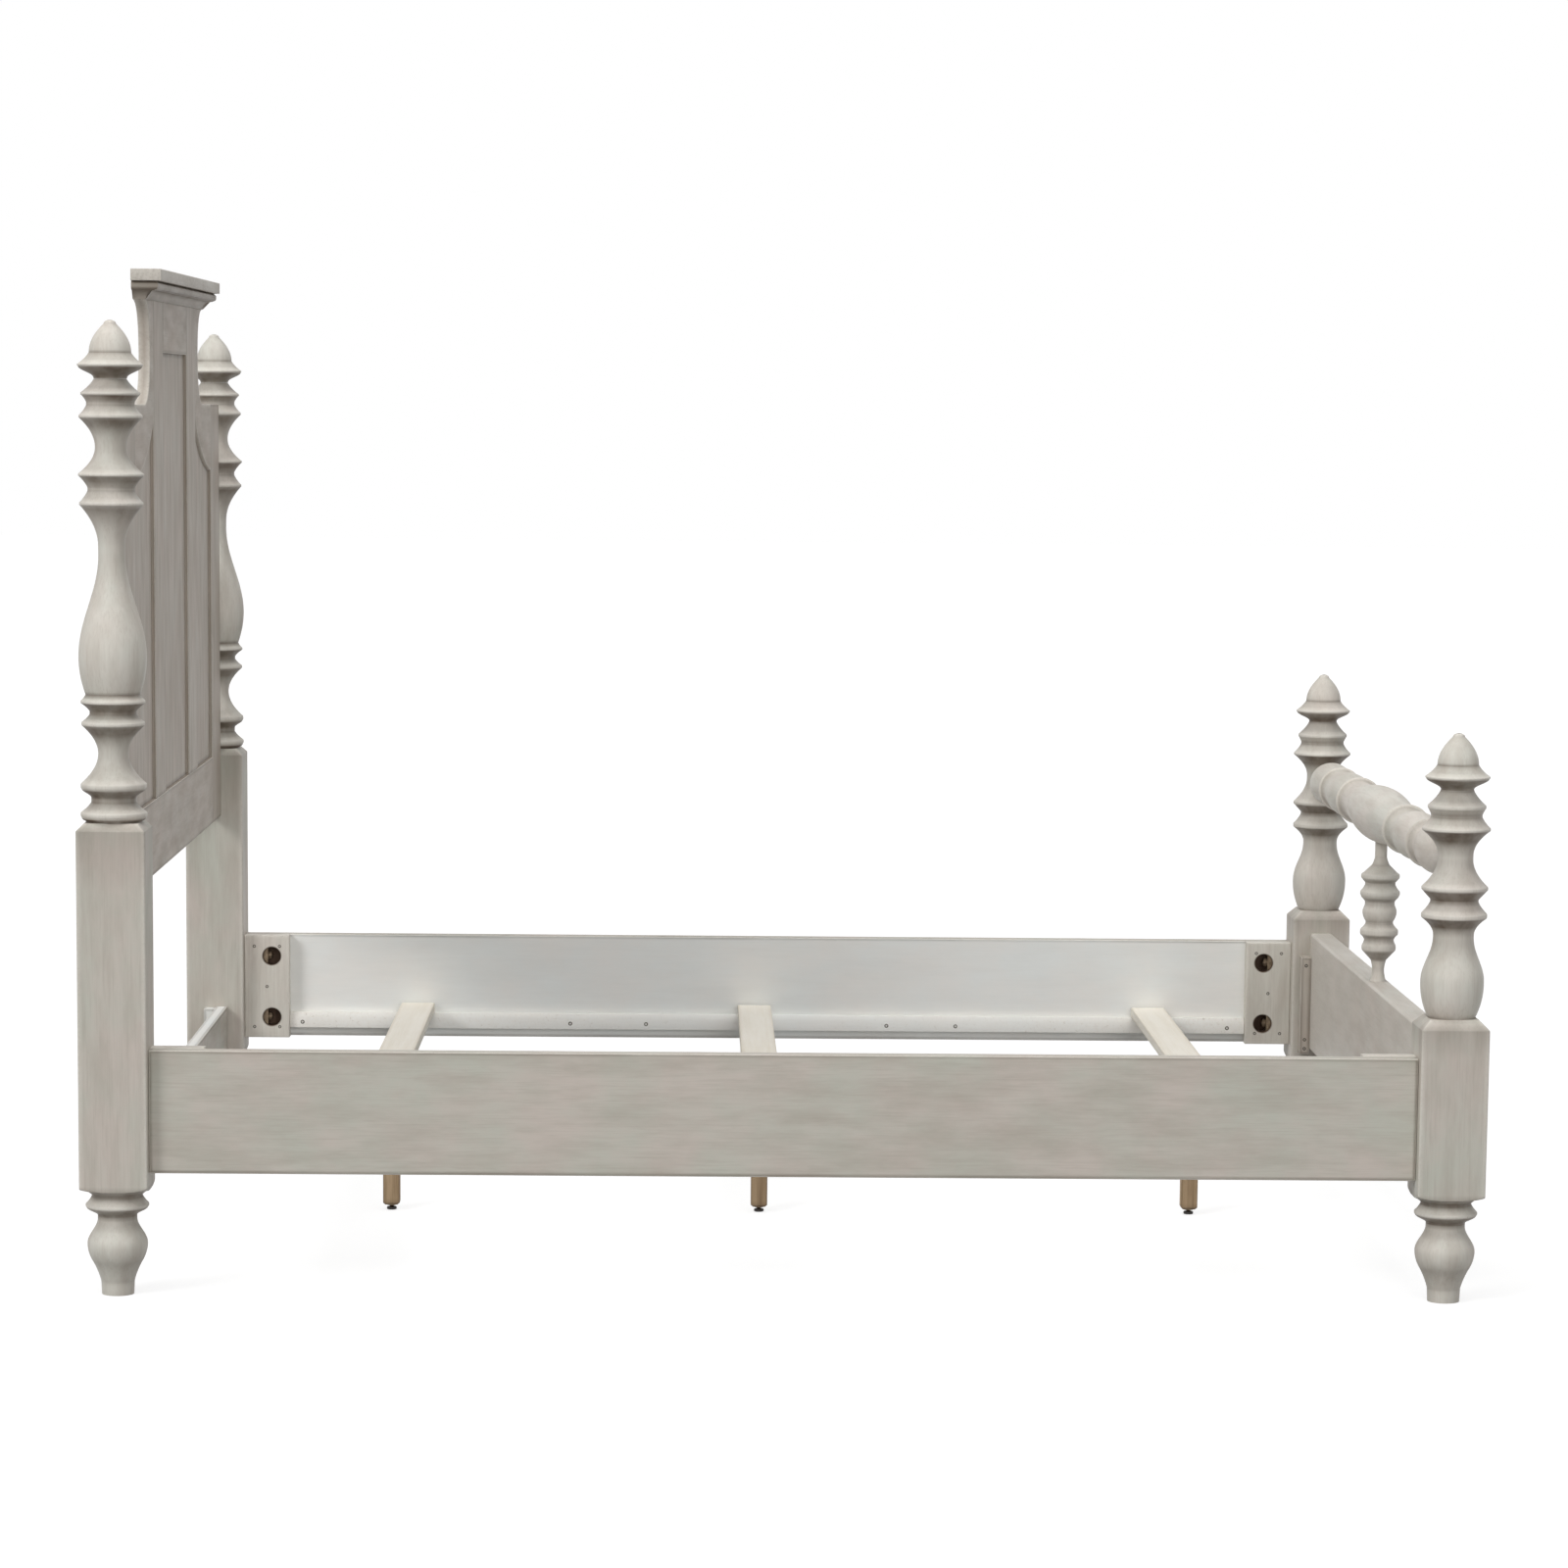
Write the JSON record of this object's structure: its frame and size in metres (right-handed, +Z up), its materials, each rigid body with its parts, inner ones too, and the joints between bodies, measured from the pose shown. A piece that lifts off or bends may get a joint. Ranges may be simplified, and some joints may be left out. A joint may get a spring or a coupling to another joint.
{
  "type": "poster bed",
  "caption": "Poster bed with turned posts and finials, arched panelled headboard under a moulded crown, low footboard with a turned bar and spindle, bolted side rails and legged slats.",
  "frame": {"origin": "on the floor under the middle of the bed's footprint", "axes": "+Z up, +Y towards the headboard, X across the bed"},
  "size_m": [1.721, 2.307, 1.6823],
  "materials": {
    "painted_wood": "satin glazed antique white paint",
    "painted_panel": "satin glazed antique white paint",
    "bare_wood": "bare sawn pale softwood",
    "leg_wood": "bare hardwood",
    "steel": "dull zinc plated",
    "glide_nylon": "moulded nylon"
  },
  "bodies": {
    "frame": {"head_post_left": "painted_wood", "head_finial_left": "painted_wood", "rail_end_block_head_left": "painted_wood", "rail_bolt_head_left_lower": "steel", "rail_bolt_head_left_upper": "steel", "head_post_right": "painted_wood", "head_finial_right": "painted_wood", "rail_end_block_head_right": "painted_wood", "rail_bolt_head_right_lower": "steel", "rail_bolt_head_right_upper": "steel", "foot_post_left": "painted_wood", "foot_finial_left": "painted_wood", "rail_end_block_foot_left": "painted_wood", "rail_bolt_foot_left_lower": "steel", "rail_bolt_foot_left_upper": "steel", "foot_post_right": "painted_wood", "foot_finial_right": "painted_wood", "rail_end_block_foot_right": "painted_wood", "rail_bolt_foot_right_lower": "steel", "rail_bolt_foot_right_upper": "steel", "side_rail_left": "painted_wood", "ledger_left": "painted_wood", "headboard_stile_left": "painted_wood", "headboard_mullion_left": "painted_wood", "headboard_top_rail_left": "painted_wood", "crown_moulding_left": "painted_wood", "stretcher_cleat_left": "painted_wood", "footboard_cleat_left": "painted_wood", "headboard_panel_left": "painted_panel", "side_rail_right": "painted_wood", "ledger_right": "painted_wood", "headboard_stile_right": "painted_wood", "headboard_mullion_right": "painted_wood", "headboard_top_rail_right": "painted_wood", "crown_moulding_right": "painted_wood", "stretcher_cleat_right": "painted_wood", "footboard_cleat_right": "painted_wood", "headboard_panel_right": "painted_panel", "headboard_panel_centre": "painted_panel", "headboard_bottom_rail": "painted_wood", "headboard_centre_top_rail": "painted_wood", "crown_cap": "painted_wood", "crown_moulding_front": "painted_wood", "head_stretcher": "painted_wood", "footboard_panel": "painted_wood", "footboard_bar": "painted_wood", "footboard_spindle": "painted_wood", "slat_head": "bare_wood", "slat_leg_head": "leg_wood", "leg_insert_head": "steel", "slat_middle": "bare_wood", "slat_leg_middle": "leg_wood", "leg_insert_middle": "steel", "slat_foot": "bare_wood", "slat_leg_foot": "leg_wood", "leg_insert_foot": "steel"},
    "glide_head": {"leg_glide_head": "glide_nylon"},
    "glide_middle": {"leg_glide_middle": "glide_nylon"},
    "glide_foot": {"leg_glide_foot": "glide_nylon"}
  },
  "joints": [
    {"name": "glide_head_travel", "type": "slide", "parent": "frame", "child": "glide_head", "axis": [0, 0, 1], "range_m": [-0.018, 0.003]},
    {"name": "glide_middle_travel", "type": "slide", "parent": "frame", "child": "glide_middle", "axis": [0, 0, 1], "range_m": [-0.018, 0.003]},
    {"name": "glide_foot_travel", "type": "slide", "parent": "frame", "child": "glide_foot", "axis": [0, 0, 1], "range_m": [-0.018, 0.003]}
  ]
}
